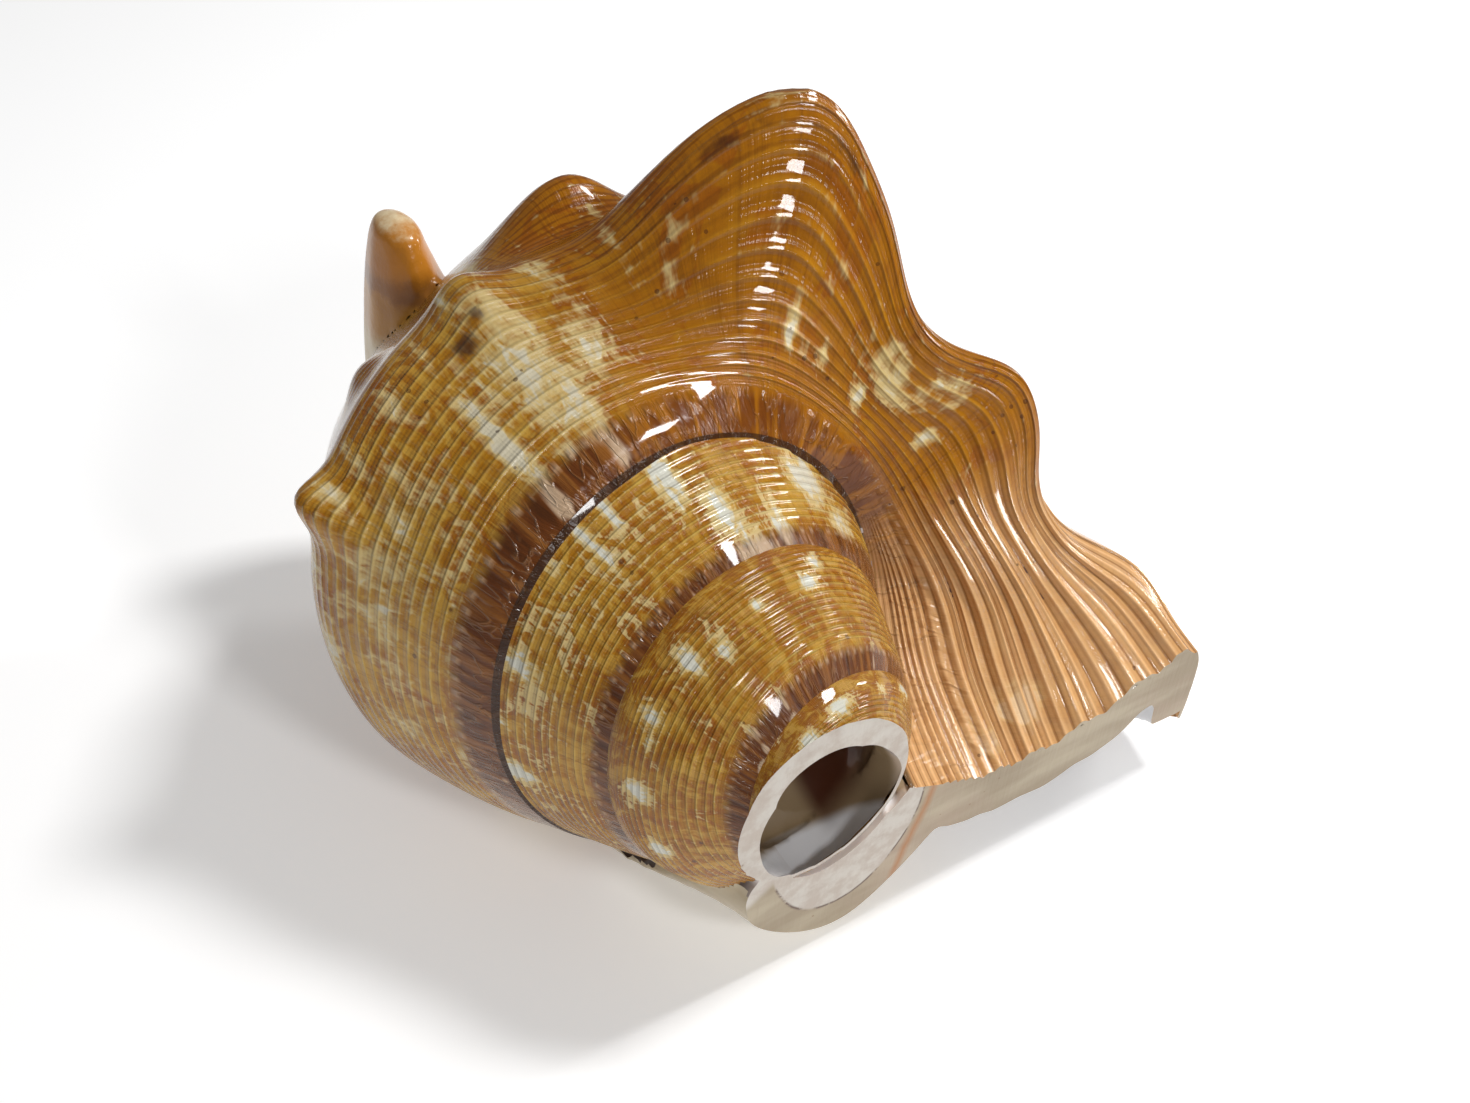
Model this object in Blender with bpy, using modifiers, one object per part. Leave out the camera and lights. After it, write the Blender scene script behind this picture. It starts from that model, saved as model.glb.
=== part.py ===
"""A blowing conch made from a spider conch shell.

The shell is one spiral wall. A generating curve from the suture to the canal is carried round the
axis (world Y, apex towards -Y), it flares into the lip on the right, and the knobs swell out of it.
The apex and the back of the lip are ground flat, and the spire is left open as the blow hole.
"""

import math

import bmesh
import bpy
import numpy as np
from mathutils import Vector

# Driving dimensions, in millimetres and degrees. Angles run the way the shell grew:
# 0 right, -90 top, -180 left, -270 underside, and one turn more or less for the other whorls.
SUTURE_RADIUS = 37.0
TURN_GROWTH = 1.373
SPIRE_SLOPE = 4.285
SPIRE_TAPER = 0.57
APEX_TO_CUT = 117.0
FIRST_ANGLE = -1200.0
LIP_ANGLE = 27.0
WALL = 3.0
LIP_WALL = 9.0
CROWN_WALL = 1.6
FOLD_HEIGHT = 0.9
FOLD_PLACE = 0.42
REST_HEIGHT = -35.0
ORIGIN = (15.87, 58.47, -35.0)
CUT_PLACE = -2.5
CUT_SLOPE = -0.13
VOXEL = 1.1
TRIANGLES = 9300

# Generating curve: distance from the axis and place along it, from the suture to the canal end.
STATIONS = {
    -270: [
        (29.2, 26), (31, 30), (34, 41), (36, 57), (36, 66),
        (34, 76), (28, 89), (17, 103), (12, 112), (9, 119),
    ],
    -195: [
        (31.2, 30), (33, 34), (38, 46), (41.5, 59), (39, 67),
        (35, 77), (28, 92), (19, 105), (13, 112), (10, 118),
    ],
    -150: [
        (32.8, 33), (35, 37), (40, 51), (44, 67), (40, 75),
        (35, 84), (28, 95), (19, 107), (14, 113), (11, 118),
    ],
    -103: [
        (34, 36), (36.5, 40), (41, 56), (44, 74), (40, 81),
        (35, 89), (28, 99), (21, 108), (15, 113), (12, 118),
    ],
    -77: [
        (34.2, 37.3), (37, 41), (43, 53), (50, 67), (47, 76),
        (46, 86), (37, 98), (24, 108), (16, 115), (12, 120),
    ],
    -60: [
        (34.4, 37), (38, 40), (47, 47), (60, 58), (54, 69),
        (50, 83), (40, 96), (26, 107), (17, 114), (12, 119),
    ],
    -36: [
        (34.4, 35), (38, 35), (47, 37), (59, 38), (57, 50),
        (54, 68), (44, 88), (28, 103), (17, 112), (12, 118),
    ],
    -13: [
        (33.2, 32), (37, 30), (47, 25), (58.5, 24), (60, 36),
        (60, 57), (50, 80), (31, 99), (18, 110), (12, 117),
    ],
    0: [
        (31.5, 29), (37, 24), (48, 15), (62, 15), (64, 27),
        (64, 50), (54, 75), (34, 96), (19, 108), (12, 116),
    ],
    9: [
        (27, 20), (34, 14), (48, 7), (68, 3), (70, 16),
        (69, 42), (58, 69), (38, 92), (20, 107), (12, 116),
    ],
    18: [
        (20, 3), (33, 2), (49, -1), (73, -8), (74.5, 6),
        (73, 35), (62, 63), (42, 88), (22, 105), (12, 115),
    ],
    27: [
        (17, -12), (33, -11), (50, -13), (78, -20), (77.5, 0),
        (75, 30), (66, 59), (46, 85), (24, 104), (12, 114),
    ],
}

# Knobs: angle, place on the curve (0 suture, 3 keel, 5 second row, 9 end), swelling, and two half widths.
KNOBS = [
    (-150, 3.0, 4.5, 6, 0.6),
    (-103, 3.0, 3.5, 8, 0.8),
    (-71, 3.0, 3.5, 8, 0.8),
    (-60, 3.0, 19.0, 15, 1.0),
    (-47, 3.0, 2.5, 7, 0.8),
    (-24, 3.0, 7.5, 9, 0.9),
    (-17, 3.0, 2.5, 6, 0.8),
    (4, 3.3, 4.0, 6, 0.6),
    (-75, 5.0, 6.0, 12, 0.6),
    (-30, 5.0, 5.0, 10, 0.7),
    (0, 5.0, 5.0, 9, 0.7),
    (-128, 5.0, 2.5, 10, 0.6),
    (-375, 1.6, 1.6, 40, 1.6),
    (25, 4.4, 3.0, 9, 0.35),
    (25, 5.4, 3.5, 9, 0.35),
    (25, 6.4, 3.0, 9, 0.35),
]


def suture(angle):
    """Distance from the axis and place along it of the line where a whorl joins the one before."""
    radius = SUTURE_RADIUS * TURN_GROWTH ** (angle / 360.0)
    along = SPIRE_SLOPE * radius * (radius / SUTURE_RADIUS) ** -SPIRE_TAPER - APEX_TO_CUT
    return radius, along


# Spire whorls keep one shape: distances over the suture radius, from the suture to the axis.
WHORL_OUT = [1.0, 1.05, 1.22, 1.40, 1.41, 1.32, 1.06, 0.62, 0.22, 0.10]
WHORL_ALONG = [0.0, 0.12, 0.50, 0.95, 1.12, 1.32, 1.60, 1.84, 2.00, 2.10]


def smooth(x, xs, ys):
    """A soft line through a few values, flat beyond its ends."""
    xs = np.asarray(xs, float)
    ys = np.asarray(ys, float)
    slopes = np.gradient(ys, xs, axis=0)
    x = np.clip(x, xs[0], xs[-1])
    i = int(np.clip(np.searchsorted(xs, x) - 1, 0, len(xs) - 2))
    width = xs[i + 1] - xs[i]
    t = (x - xs[i]) / width
    a = (1 + 2 * t) * (1 - t) ** 2
    b = t * (1 - t) ** 2
    c = t * t * (3 - 2 * t)
    d = t * t * (t - 1)
    return a * ys[i] + b * width * slopes[i] + c * ys[i + 1] + d * width * slopes[i + 1]


def ease(x, low, high):
    t = float(np.clip((x - low) / (high - low), 0.0, 1.0))
    return t * t * (3 - 2 * t)


def bell(x, middle, half):
    return math.exp(-1.6 * ((x - middle) / half) ** 2)


ANGLES = sorted(STATIONS)
CURVES = np.array([STATIONS[angle] for angle in ANGLES], float)


def generating_curve(angle):
    """The ten control points at one angle: (distance from the axis, place along it)."""
    radius, along = suture(angle)
    whorl = np.column_stack([radius * np.array(WHORL_OUT), along + radius * np.array(WHORL_ALONG)])
    if angle <= -420:
        return whorl
    body = smooth(angle, ANGLES, CURVES)
    if angle >= ANGLES[0]:
        return body
    start_radius, start_along = suture(ANGLES[0])
    body = body * [radius / start_radius, 1.0]
    body[:, 1] += (along - start_along) * np.linspace(1.0, 0.0, 10)
    part = ease(angle, -420, ANGLES[0])
    return whorl + (body - whorl) * part


def outer_point(angle, place):
    """A point of the outside in (distance from the axis, place along it), knobs and ribs added."""
    out, along = smooth(place, range(10), generating_curve(angle))
    for knob_angle, knob_place, height, half_angle, half_place in KNOBS:
        out += height * bell(angle, knob_angle, half_angle) * bell(place, knob_place, half_place)
    return out, along


# The edge of the lip isn't straight: degrees by which each place of the last curve runs ahead or behind.
LIP_LEAD = [6, 6, 0, -8, -8, 3, 2, 1, 0, 0]


def surface(angle, place):
    """A point of the outside in space; the edge before place 0 is tucked into the whorl before."""
    out, along = outer_point(angle, max(place, 0.0))
    if place < 0:
        out -= 0.07 * suture(angle)[0]
        along -= 0.02 * suture(angle)[0]
    fold = ease(angle, -30, 5) * ease(place, 0.6, 1.4) * (1 - ease(place, 3.2, 4.0))
    along -= FOLD_HEIGHT * fold * math.cos(2 * math.pi * place / FOLD_PLACE)
    lead = float(np.interp(place, range(10), LIP_LEAD)) * ease(angle, -15, LIP_ANGLE)
    turn = math.radians(angle + lead)
    return np.array([out * math.cos(turn), along, -out * math.sin(turn)])


# Start from an empty scene.
for old in list(bpy.data.objects):
    bpy.data.objects.remove(old, do_unlink=True)

shell_parts = bpy.data.collections.new("Conch_Shell")
bpy.context.scene.collection.children.link(shell_parts)
cutters = bpy.data.collections.new("Cutters")
bpy.context.scene.collection.children.link(cutters)


def metres(point):
    """A point measured from the axis, in metres from the middle of the underside."""
    return tuple(0.001 * (float(c) - o) for c, o in zip(point, ORIGIN))


def mesh_object(name, points, faces, collection):
    """A mesh whose faces all look outwards."""
    mesh = bpy.data.meshes.new(name)
    mesh.from_pydata([metres(p) for p in points], [], faces)
    facing = bmesh.new()
    facing.from_mesh(mesh)
    bmesh.ops.recalc_face_normals(facing, faces=facing.faces)
    facing.to_mesh(mesh)
    facing.free()
    made = bpy.data.objects.new(name, mesh)
    collection.objects.link(made)
    return made


def tube(sections):
    """Points and faces of a closed body through rings of equal point counts."""
    count = len(sections[0])
    points = [p for ring in sections for p in ring]
    faces = []
    for r in range(len(sections) - 1):
        for i in range(count):
            j = (i + 1) % count
            low = r * count
            faces.append((low + i, low + j, low + count + j, low + count + i))
    faces.append(tuple(range(count - 1, -1, -1)))
    last = (len(sections) - 1) * count
    faces.append(tuple(last + i for i in range(count)))
    return points, faces


# The wall: an open sheet with a thickness of its own at each point.
angles = np.arange(FIRST_ANGLE, LIP_ANGLE + 0.1, 3.0)
places = np.concatenate([[-1.0], np.linspace(0.0, 9.0, 73)])
rows = len(places)
sheet_points = [surface(angle, place) for angle in angles for place in places]
sheet_faces = []
for i in range(len(angles) - 1):
    for j in range(rows - 1):
        a = i * rows + j
        sheet_faces.append((a, a + 1, a + rows + 1, a + rows))
sheet = mesh_object("wall_sheet", sheet_points, sheet_faces, cutters)
thickness = sheet.vertex_groups.new(name="thickness")
for i, angle in enumerate(angles):
    for j, place in enumerate(places):
        growing = ease(angle, -45, 5) * (1.0 - ease(place, 6.5, 8.5))
        crown = CROWN_WALL * (1.0 - ease(angle, -900, -640))
        margin = 1.0 - 0.35 * ease(angle, 19, LIP_ANGLE) * ease(place, 3.6, 4.6)
        wall = WALL + crown + (LIP_WALL * margin - WALL) * growing
        thickness.add([i * rows + j], wall / LIP_WALL, "REPLACE")
solidify = sheet.modifiers.new("wall", "SOLIDIFY")
solidify.thickness = 0.001 * LIP_WALL
solidify.offset = -1.0
solidify.vertex_group = "thickness"
solidify.use_even_offset = False

# The column at the axis, which every whorl winds round.
column_rings = []
for along in np.linspace(-16, 112, 20):
    radius = 3.2 + 2.6 * ease(along, 0, 110)
    ring = []
    for i in range(12):
        turn = 2 * math.pi * i / 12
        ring.append((radius * math.cos(turn), along, radius * math.sin(turn)))
    column_rings.append(ring)

# The canal bends up at the front end and stops in a worn tip.
CANAL_LINE = [(0, 99, -3), (0, 106, 2), (-1, 109, 12), (-2.5, 110, 22), (-3.5, 110, 32), (-3.5, 109.5, 38)]
CANAL_SIZE = [(9, 10), (12, 13), (10, 13), (7, 10.5), (4.5, 7.5), (3, 5)]
canal_rings = []
for k in range(26):
    t = 5 * k / 25
    centre = Vector(smooth(t, range(6), CANAL_LINE))
    ahead = Vector(smooth(min(t + 0.05, 5), range(6), CANAL_LINE))
    behind = Vector(smooth(max(t - 0.05, 0), range(6), CANAL_LINE))
    way = (ahead - behind).normalized()
    side = Vector((1, 0, 0))
    side = (side - way * side.dot(way)).normalized()
    front = way.cross(side)
    across, deep = smooth(t, range(6), CANAL_SIZE)
    ring = []
    for i in range(16):
        turn = 2 * math.pi * i / 16
        ring.append(tuple(centre + side * across * math.cos(turn) + front * deep * math.sin(turn)))
    canal_rings.append(ring)

# The pad of callus under the blow hole, in sections along the axis.
PAD_BACK = [
    (-11, -10), (-10.5, -18), (-8.6, -22.5), (-1.5, -29.3), (7, -33),
    (14.5, -28), (21, -22), (25, -16), (17, -8), (4, -14),
]
PAD_FRONT = [
    (-17, -27), (-16, -28), (-12, -30), (-2, -33), (8, -33),
    (14, -31), (19, -28), (21, -25), (15, -27), (0, -31),
]
pad_rings = []
for along in (-9, 0, 6, 12, 18, 24, 30, 36):
    part = ease(along, -4, 32)
    ring = []
    for (ax, az), (bx, bz) in zip(PAD_BACK, PAD_FRONT):
        ring.append((ax + (bx - ax) * part, along, az + (bz - az) * part))
    pad_rings.append(ring)

depsgraph = bpy.context.evaluated_depsgraph_get()
thick = bpy.data.meshes.new_from_object(sheet.evaluated_get(depsgraph))
grown = bmesh.new()
grown.from_mesh(thick)
for rings in (column_rings, canal_rings, pad_rings):
    points, faces = tube(rings)
    made = [grown.verts.new(metres(p)) for p in points]
    for face in faces:
        grown.faces.new([made[i] for i in face])
bmesh.ops.recalc_face_normals(grown, faces=grown.faces)
body_mesh = bpy.data.meshes.new("shell")
grown.to_mesh(body_mesh)
grown.free()
shell = bpy.data.objects.new("shell", body_mesh)
shell_parts.objects.link(shell)
bpy.data.objects.remove(sheet, do_unlink=True)

remesh = shell.modifiers.new("one_body", "REMESH")
remesh.mode = "VOXEL"
remesh.voxel_size = 0.001 * VOXEL
remesh.adaptivity = 0.0
soften = shell.modifiers.new("soften", "SMOOTH")
soften.factor = 0.5
soften.iterations = 3

depsgraph = bpy.context.evaluated_depsgraph_get()
fine = shell.evaluated_get(depsgraph).to_mesh()
fine_triangles = sum(len(face.vertices) - 2 for face in fine.polygons)
shell.evaluated_get(depsgraph).to_mesh_clear()
fewer = shell.modifiers.new("fewer", "DECIMATE")
fewer.ratio = TRIANGLES / fine_triangles

BOX_FACES = [(0, 1, 3, 2), (4, 6, 7, 5), (0, 4, 5, 1), (2, 3, 7, 6), (0, 2, 6, 4), (1, 5, 7, 3)]


def cut(target, cutter):
    boolean = target.modifiers.new(cutter.name, "BOOLEAN")
    boolean.operation = "DIFFERENCE"
    boolean.solver = "EXACT"
    boolean.object = cutter
    return boolean


# The blow hole reamed out of the opened spire.
ream_rings = []
for along, radius in ((-20, 13.5), (-6, 12.6), (-2, 11.6), (4, 11.0), (10, 9.5), (16, 6.5)):
    ring = []
    for i in range(26):
        turn = 2 * math.pi * (i + 0.3) / 26
        ring.append((1.5 + radius * math.cos(turn), along, -4.5 + 1.05 * radius * math.sin(turn)))
    ream_rings.append(ring)
points, faces = tube(ream_rings)
ream = mesh_object("ream_hole", points, faces, cutters)
ream.hide_render = True
ream.display_type = "WIRE"
cut(shell, ream)

# The back end ground flat, apex and lip in one plane that leans a little.
back_points = []
for x in (-150, 150):
    for deep in (-120, 0):
        for z in (-150, 150):
            back_points.append((x, CUT_PLACE + CUT_SLOPE * z + deep, z))
grinding = mesh_object("ground_back", back_points, BOX_FACES, cutters)
grinding.hide_render = True
grinding.display_type = "WIRE"
cut(shell, grinding)

# The worn underside it rests on.
worn_points = []
for x in (-150, 150):
    for y in (-60, 180):
        for z in (-150, REST_HEIGHT):
            worn_points.append((x, y, z))
worn = mesh_object("worn_underside", worn_points, BOX_FACES, cutters)
worn.hide_render = True
worn.display_type = "WIRE"
cut(shell, worn)

nacre = bpy.data.materials.new("shell_brown_cream")
nacre.use_nodes = True
finish = nacre.node_tree.nodes["Principled BSDF"]
finish.inputs["Base Color"].default_value = (0.42, 0.21, 0.07, 1.0)
finish.inputs["Roughness"].default_value = 0.28
finish.inputs["Metallic"].default_value = 0.0
shell.data.materials.append(nacre)
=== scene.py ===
# %% [markdown]
# # A conch shell, ground for blowing
# The object is the shell of a spider conch that lies on its opening. It grew as one spiral wall, so
# nothing on it is assembled. A person then ground the pointed end and the back of the lip flat, and
# the open spire became the mouthpiece. This lesson grows the same wall from a few curves, thickens
# it, cuts it, and then gives it the finish of an old polished shell.

import math

import bmesh
import bpy
import numpy as np
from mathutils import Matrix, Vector


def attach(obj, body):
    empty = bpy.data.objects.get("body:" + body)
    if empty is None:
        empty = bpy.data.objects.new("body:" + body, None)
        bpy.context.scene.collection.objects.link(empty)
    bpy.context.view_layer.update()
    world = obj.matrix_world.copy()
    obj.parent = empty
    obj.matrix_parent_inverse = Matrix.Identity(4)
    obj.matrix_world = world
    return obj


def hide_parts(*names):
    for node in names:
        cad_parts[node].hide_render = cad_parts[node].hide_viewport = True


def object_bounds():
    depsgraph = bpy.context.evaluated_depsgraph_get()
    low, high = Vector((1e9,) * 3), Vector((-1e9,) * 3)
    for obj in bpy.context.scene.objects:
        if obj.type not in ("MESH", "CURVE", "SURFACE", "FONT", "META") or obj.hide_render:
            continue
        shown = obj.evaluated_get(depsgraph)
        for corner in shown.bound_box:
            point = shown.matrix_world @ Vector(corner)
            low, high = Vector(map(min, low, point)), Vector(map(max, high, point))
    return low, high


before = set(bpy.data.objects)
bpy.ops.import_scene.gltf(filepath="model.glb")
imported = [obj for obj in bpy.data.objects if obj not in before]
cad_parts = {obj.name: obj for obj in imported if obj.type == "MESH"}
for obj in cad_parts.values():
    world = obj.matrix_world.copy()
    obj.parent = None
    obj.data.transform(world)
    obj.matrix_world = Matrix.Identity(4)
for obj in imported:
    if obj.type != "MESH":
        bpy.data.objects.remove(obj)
first_bounds = [list(map(float, corner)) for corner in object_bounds()]
print("frame bounds", first_bounds)

# %% [markdown]
# ## How the shell grew
# A snail adds to the edge of its shell while it turns about an axis, so every part of the outside
# has two natural measures. One is the turn in degrees: 0 is the right side, -90 the top, -180 the
# left, -270 the underside, and one whorl back is 360 less. The other is the place across the whorl,
# from 0 at the seam with the whorl before, through 1 at the edge of the dark band and 3 at the
# shoulder, to 9 at the front canal. Colour and thread follow these two measures on a real shell,
# so both are kept as attributes of the meshes of the outside.

# %% Measures of growth
SUTURE_RADIUS = 37.0
TURN_GROWTH = 1.373
SPIRE_SLOPE = 4.285
SPIRE_TAPER = 0.57
APEX_TO_CUT = 117.0
LIP_ANGLE = 27.0
WALL = 3.0
LIP_WALL = 9.0
CROWN_WALL = 1.6
FOLD_HEIGHT = 0.9
FOLD_PLACE = 0.42
REST_HEIGHT = -35.0
CUT_PLACE = -2.5
CUT_SLOPE = -0.13
ORIGIN = np.array([15.87, 58.47, -35.0])

# The generating curve at a few turns: distance from the axis and place along it, in millimetres.
STATIONS = {
    -270: [
        (29.2, 26), (31, 30), (34, 41), (36, 57), (36, 66),
        (34, 76), (28, 89), (17, 103), (12, 112), (9, 119),
    ],
    -195: [
        (31.2, 30), (33, 34), (38, 46), (41.5, 59), (39, 67),
        (35, 77), (28, 92), (19, 105), (13, 112), (10, 118),
    ],
    -150: [
        (32.8, 33), (35, 37), (40, 51), (44, 67), (40, 75),
        (35, 84), (28, 95), (19, 107), (14, 113), (11, 118),
    ],
    -103: [
        (34, 36), (36.5, 40), (41, 56), (44, 74), (40, 81),
        (35, 89), (28, 99), (21, 108), (15, 113), (12, 118),
    ],
    -77: [
        (34.2, 37.3), (37, 41), (43, 53), (50, 67), (47, 76),
        (46, 86), (37, 98), (24, 108), (16, 115), (12, 120),
    ],
    -60: [
        (34.4, 37), (38, 40), (47, 47), (60, 58), (54, 69),
        (50, 83), (40, 96), (26, 107), (17, 114), (12, 119),
    ],
    -36: [
        (34.4, 35), (38, 35), (47, 37), (59, 38), (57, 50),
        (54, 68), (44, 88), (28, 103), (17, 112), (12, 118),
    ],
    -13: [
        (33.2, 32), (37, 30), (47, 25), (58.5, 24), (60, 36),
        (60, 57), (50, 80), (31, 99), (18, 110), (12, 117),
    ],
    0: [
        (31.5, 29), (37, 24), (48, 15), (62, 15), (64, 27),
        (64, 50), (54, 75), (34, 96), (19, 108), (12, 116),
    ],
    9: [
        (27, 20), (34, 14), (48, 7), (68, 3), (70, 16),
        (69, 42), (58, 69), (38, 92), (20, 107), (12, 116),
    ],
    18: [
        (20, 3), (33, 2), (49, -1), (73, -8), (74.5, 6),
        (73, 35), (62, 63), (42, 88), (22, 105), (12, 115),
    ],
    27: [
        (17, -12), (33, -11), (50, -13), (78, -20), (77.5, 0),
        (75, 30), (66, 59), (46, 85), (24, 104), (12, 114),
    ],
}

WHORL_OUT = np.array([1.0, 1.05, 1.22, 1.40, 1.41, 1.32, 1.06, 0.62, 0.22, 0.10])
WHORL_ALONG = np.array([0.0, 0.12, 0.50, 0.95, 1.12, 1.32, 1.60, 1.84, 2.00, 2.10])
LIP_LEAD = [6, 6, 0, -8, -8, 3, 2, 1, 0, 0]

# Knobs: turn, place, height in millimetres, half width in degrees and in places.
KNOBS = [
    (-150, 3.0, 4.5, 6, 0.6),
    (-103, 3.0, 3.5, 8, 0.8),
    (-71, 3.0, 3.5, 8, 0.8),
    (-60, 3.0, 19.0, 15, 1.0),
    (-47, 3.0, 2.5, 7, 0.8),
    (-24, 3.0, 7.5, 9, 0.9),
    (-17, 3.0, 2.5, 6, 0.8),
    (4, 3.3, 4.0, 6, 0.6),
    (-75, 5.0, 6.0, 12, 0.6),
    (-30, 5.0, 5.0, 10, 0.7),
    (0, 5.0, 5.0, 9, 0.7),
    (-128, 5.0, 2.5, 10, 0.6),
    (-375, 1.6, 1.6, 40, 1.6),
    (25, 4.4, 3.0, 9, 0.35),
    (25, 5.4, 3.5, 9, 0.35),
    (25, 6.4, 3.0, 9, 0.35),
]
print("stations", len(STATIONS), "knobs", len(KNOBS))


# %% [markdown]
# ## From curves to a surface
# Between the stations the curve is carried smoothly, the way growth has no jumps. Knobs are soft
# swellings added to the distance from the axis. Threads are the fine spiral cords that a finger
# feels on the outside: they sit at equal steps of place, so they crowd together on the small whorls
# and spread on the lip, as the snail's did. On the lip they widen into strong ribs.

# %% Surface of the wall
def ease(x, low, high):
    t = np.clip((np.asarray(x, float) - low) / (high - low), 0.0, 1.0)
    return t * t * (3 - 2 * t)


def bell(x, middle, half):
    return np.exp(-1.6 * ((x - middle) / half) ** 2)


def smooth(x, xs, ys):
    """A soft line through a few values for many x at once, flat beyond its ends."""
    xs = np.asarray(xs, float)
    ys = np.asarray(ys, float)
    slopes = np.gradient(ys, xs, axis=0)
    x = np.clip(np.asarray(x, float), xs[0], xs[-1])
    i = np.clip(np.searchsorted(xs, x) - 1, 0, len(xs) - 2)
    width = xs[i + 1] - xs[i]
    t = (x - xs[i]) / width
    shape = (-1,) + (1,) * (ys.ndim - 1)
    width = width.reshape(shape)
    t = t.reshape(shape)
    return (
        (1 + 2 * t) * (1 - t) ** 2 * ys[i]
        + t * (1 - t) ** 2 * width * slopes[i]
        + t * t * (3 - 2 * t) * ys[i + 1]
        + t * t * (t - 1) * width * slopes[i + 1]
    )


def suture(turn):
    radius = SUTURE_RADIUS * TURN_GROWTH ** (turn / 360.0)
    return radius, SPIRE_SLOPE * radius * (radius / SUTURE_RADIUS) ** -SPIRE_TAPER - APEX_TO_CUT


TURNS = sorted(STATIONS)
CURVES = np.array([STATIONS[turn] for turn in TURNS], float)


def generating_curves(turns):
    """Ten control points for every turn, as an array of (turns, 10, 2)."""
    radius, along = suture(turns)
    whorl = np.stack(
        [radius[:, None] * WHORL_OUT, along[:, None] + radius[:, None] * WHORL_ALONG], axis=-1
    )
    body = smooth(turns, TURNS, CURVES)
    start_radius, start_along = suture(float(TURNS[0]))
    early = turns < TURNS[0]
    body[early, :, 0] *= (radius[early] / start_radius)[:, None]
    body[early, :, 1] += (along[early] - start_along)[:, None] * np.linspace(1, 0, 10)
    part = ease(turns, -420, TURNS[0])[:, None, None]
    return whorl + (body - whorl) * part


def thread_relief(turn, place):
    """Height of the spiral threads in millimetres."""
    on_spire = ease(place, 1.25, 1.45) * (1 - ease(place, 2.75, 3.2))
    on_lip = ease(turn, -22, 2) * ease(place, 0.35, 0.6) * (1 - ease(place, 2.75, 3.1))
    wave = 0.5 + 0.5 * np.cos(2 * math.pi * place / 0.125 + 0.35 * np.sin(place * 9.0))
    fine = 0.5 + 0.5 * np.cos(2 * math.pi * place / 0.0625 + 1.0)
    # A strong thread is a ridge with a narrow top.
    ridge = wave**2.2 + 0.16 * fine
    body = 0.12 - 0.02 * ease(turn, -420, -200) + 0.06 * ease(turn, -100, -60)
    rib = wave**0.65
    return ridge * body * on_spire * (1 - on_lip) + 0.5 * rib * on_lip


def surface(turns, places, threads=False):
    """Points of the outside in the shell's own millimetres, as (turns, places, 3)."""
    turns = np.asarray(turns, float)
    places = np.asarray(places, float)
    curves = generating_curves(turns)
    tucked = np.clip(places, 0.0, 9.0)
    across = smooth(tucked, range(10), np.moveaxis(curves, 1, 0))
    across = np.moveaxis(across, 0, 1)
    out, along = across[..., 0].copy(), across[..., 1].copy()
    turn, place = np.meshgrid(turns, places, indexing="ij")
    for knob_turn, knob_place, height, half_turn, half_place in KNOBS:
        out += height * bell(turn, knob_turn, half_turn) * bell(place, knob_place, half_place)
    radius = suture(turn)[0]
    out -= np.where(place < 0, 0.03 * radius, 0.0)
    along -= np.where(place < 0, 0.02 * radius, 0.0)
    # The open spire was rounded over where it was ground, so it narrows towards the hole.
    out *= 1 - 0.23 * (1 - ease(along, -4.0, 6.0)) * (1 - ease(turn, -640, -560))
    fold = ease(turn, -30, 5) * ease(place, 0.6, 1.4) * (1 - ease(place, 3.2, 4.0))
    along -= FOLD_HEIGHT * fold * np.cos(2 * math.pi * place / FOLD_PLACE)
    lead = np.interp(place, range(10), LIP_LEAD) * ease(turn, -15, LIP_ANGLE)
    angle = np.radians(turn + lead)
    points = np.stack([out * np.cos(angle), along, -out * np.sin(angle)], axis=-1)
    if threads:
        rise = thread_relief(turn, place) - 0.15 * ease(turn, -22, 2)
        points = points + normals_of(points) * rise[..., None]
    return points


def normals_of(points):
    """Outward unit normals of a grid of points."""
    along_turn = np.gradient(points, axis=0)
    along_place = np.gradient(points, axis=1)
    normal = np.cross(along_turn, along_place)
    length = np.linalg.norm(normal, axis=-1, keepdims=True)
    normal = normal / np.maximum(length, 1e-9)
    axis_out = points * np.array([1.0, 0.0, 1.0])
    if (normal * axis_out).sum() < 0:
        normal = -normal
    return normal


def wall_thickness(turn, place):
    growing = ease(turn, -45, 5) * (1 - ease(place, 6.5, 8.5))
    margin = 1 - 0.35 * ease(turn, 19, LIP_ANGLE) * ease(place, 3.6, 4.6)
    margin = margin * (1 - 0.45 * bell(place, 3.1, 0.8))
    crown = CROWN_WALL * (1 - ease(turn, -900, -640))
    return WALL + crown + (LIP_WALL * margin - WALL) * growing


check = surface([-60.0], [3.0])[0, 0]
print("top of the tall knob", check.round(1), "mm from the axis")


# %% [markdown]
# ## Meshes with a memory
# Each piece is a grid that stores its turn and place at every point. The ground end is a plane that
# leans a little, so grids are sliced by that plane and by the plane it rests on. The same slicing of
# the closed wall gives the outline of the cut, which is filled as one flat face.

# %% Mesh helpers
def metres(points):
    """From the shell's own millimetres to the frame."""
    return (np.asarray(points, float) - ORIGIN) * 0.001


def boxed(points):
    """The same, for the outermost skin, which doesn't pass the box that the frame was given."""
    return np.clip(metres(points), first_bounds[0], first_bounds[1])


CUT_NORMAL = Vector((0.0, 1.0, -CUT_SLOPE)).normalized()
CUT_POINT = Vector(metres((0.0, CUT_PLACE, 0.0)))
REST_NORMAL = Vector((0.0, 0.0, 1.0))
REST_POINT = Vector(metres((0.0, 0.0, REST_HEIGHT)))


def grid_faces(rows, columns, flip=False):
    faces = []
    for i in range(rows - 1):
        base = i * columns
        for j in range(columns - 1):
            a = base + j
            face = (a, a + 1, a + columns + 1, a + columns)
            faces.append(face[::-1] if flip else face)
    return faces


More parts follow.
